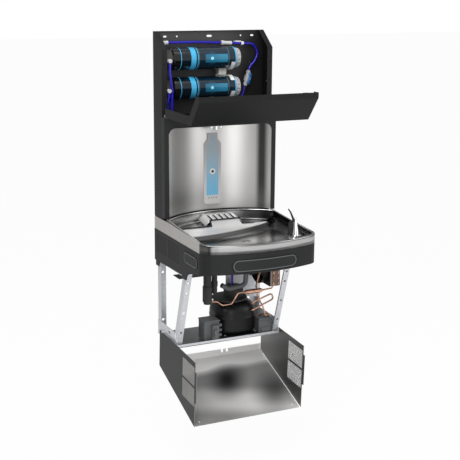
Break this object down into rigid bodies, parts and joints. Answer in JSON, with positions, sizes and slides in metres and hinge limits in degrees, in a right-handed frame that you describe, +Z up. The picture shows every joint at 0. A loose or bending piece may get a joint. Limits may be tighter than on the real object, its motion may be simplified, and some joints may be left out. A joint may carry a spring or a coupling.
{
  "type": "bottle filling station",
  "caption": "Wall-hung bottle filling station with drinking basin and bubbler, shown with the filter cover and the lower shroud swung open over the chiller.",
  "frame": {"origin": "centre of the four wall bolt holes in the rear posts, on the wall plane", "axes": "+X to the right seen from the front, -Y towards the user, +Z up"},
  "size_m": [0.475, 0.5225, 1.4604],
  "materials": {
    "grey_sheet": "satin",
    "dark_sheet": "fine texture",
    "dark_plastic": "fine texture",
    "black_sheet": "satin",
    "stainless": "brushed",
    "stainless_bright": "brushed",
    "black_plastic": "satin",
    "window_blue": "translucent gloss",
    "white_plastic": "satin",
    "lens_black": "gloss",
    "lamp_grey": "gloss",
    "chrome": "polished",
    "filter_navy": "gloss",
    "filter_cyan": "gloss",
    "filter_grey": "satin",
    "tube_blue": "satin",
    "fitting_grey": "satin",
    "valve_grey": "satin",
    "handle_blue": "satin",
    "zinc": "zinc plated",
    "cover_black": "fine texture",
    "speckled_grey": "speckled",
    "push_grey": "satin",
    "black_rubber": "matt",
    "galvanised": "galvanised",
    "compressor_black": "gloss",
    "relay_grey": "satin",
    "fin_aluminium": "dull",
    "copper": "dull copper",
    "mesh_grey": "perforated"
  },
  "bodies": {
    "cabinet": {"back_panel": "grey_sheet", "side_wall_left": "dark_sheet", "side_wall_right": "dark_sheet", "alcove_bezel": "dark_plastic", "bay_floor": "black_sheet", "alcove_liner": "stainless", "alcove_ceiling": "black_plastic", "bottle_window": "window_blue", "sensor_ring": "white_plastic", "sensor_lens": "lens_black", "indicator_lights": "lamp_grey", "fill_nozzle": "chrome", "filter_heads": "black_plastic", "filter_saddles": "white_plastic", "water_tubes": "tube_blue", "tube_fittings": "fitting_grey", "tube_clip": "white_plastic", "valve_body": "valve_grey", "bay_screws": "zinc", "cover_hinges": "zinc", "basin": "stainless", "end_cap_left": "speckled_grey", "end_cap_right": "speckled_grey", "louvre_panel_left": "dark_plastic", "louvre_panel_right": "dark_plastic", "apron": "dark_plastic", "bubbler_body": "chrome", "bubbler_guard": "black_rubber", "deck_rails": "galvanised", "frame_posts": "galvanised", "front_posts": "galvanised", "base_pan": "galvanised", "component_plate": "galvanised", "compressor": "compressor_black", "compressor_cap": "black_plastic", "relay_box": "relay_grey", "control_box": "black_plastic", "condenser": "fin_aluminium", "condenser_tubes": "copper", "fan_shroud": "black_sheet", "fan_motor": "compressor_black", "copper_lines": "copper", "filter_drier": "copper", "drain_hose": "black_rubber", "water_valves": "black_plastic"},
    "upper_cover": {"upper_cover": "cover_black"},
    "lower_shroud": {"lower_shroud": "cover_black", "shroud_vents": "mesh_grey"},
    "front_push_bar": {"front_push_bar": "push_grey"},
    "side_push_left": {"side_push_left": "push_grey"},
    "side_push_right": {"side_push_right": "push_grey"},
    "valve_handle": {"valve_handle": "handle_blue"},
    "filter_upper": {"filter_upper": "filter_navy", "filter_bands_upper": "filter_cyan", "filter_grip_upper": "filter_grey"},
    "filter_lower": {"filter_lower": "filter_navy", "filter_bands_lower": "filter_cyan", "filter_grip_lower": "filter_grey"},
    "fan_blade": {"fan_blade": "fin_aluminium"},
    "strainer": {"strainer": "stainless_bright"}
  },
  "joints": [
    {"name": "cover_hinge", "type": "hinge", "parent": "cabinet", "child": "upper_cover", "pos_m": [0, -0.117, 0.7445], "axis": [1, 0, 0], "range_deg": [-90, 0]},
    {"name": "shroud_hinge", "type": "hinge", "parent": "cabinet", "child": "lower_shroud", "pos_m": [0, -0.062, -0.132], "axis": [1, 0, 0], "range_deg": [-93, 0]},
    {"name": "front_push", "type": "slide", "parent": "cabinet", "child": "front_push_bar", "axis": [0, 1, 0], "range_m": [0, 0.004], "stiffness_N_per_m": 1500, "springref_m": -0.001},
    {"name": "left_push", "type": "slide", "parent": "cabinet", "child": "side_push_left", "axis": [1, 0, 0], "range_m": [0, 0.003], "stiffness_N_per_m": 1500, "springref_m": -0.001},
    {"name": "right_push", "type": "slide", "parent": "cabinet", "child": "side_push_right", "axis": [-1, 0, 0], "range_m": [0, 0.003], "stiffness_N_per_m": 1500, "springref_m": -0.001},
    {"name": "valve_turn", "type": "hinge", "parent": "cabinet", "child": "valve_handle", "pos_m": [0.1545, -0.022, 0.866], "axis": [0.5923, -0.788, -0.1678], "range_deg": [0, 90]},
    {"name": "upper_filter_twist", "type": "hinge", "parent": "cabinet", "child": "filter_upper", "pos_m": [-0.15, -0.046, 0.95], "axis": [1, 0, 0], "range_deg": [0, 90]},
    {"name": "lower_filter_twist", "type": "hinge", "parent": "cabinet", "child": "filter_lower", "pos_m": [-0.15, -0.046, 0.838], "axis": [1, 0, 0], "range_deg": [0, 90]},
    {"name": "fan_spin", "type": "hinge", "parent": "cabinet", "child": "fan_blade", "pos_m": [0.155, -0.148, 0.118], "axis": [1, 0, 0], "continuous": true},
    {"name": "strainer_lift", "type": "slide", "parent": "cabinet", "child": "strainer", "axis": [0, 0, 1], "range_m": [0, 0.06]}
  ]
}
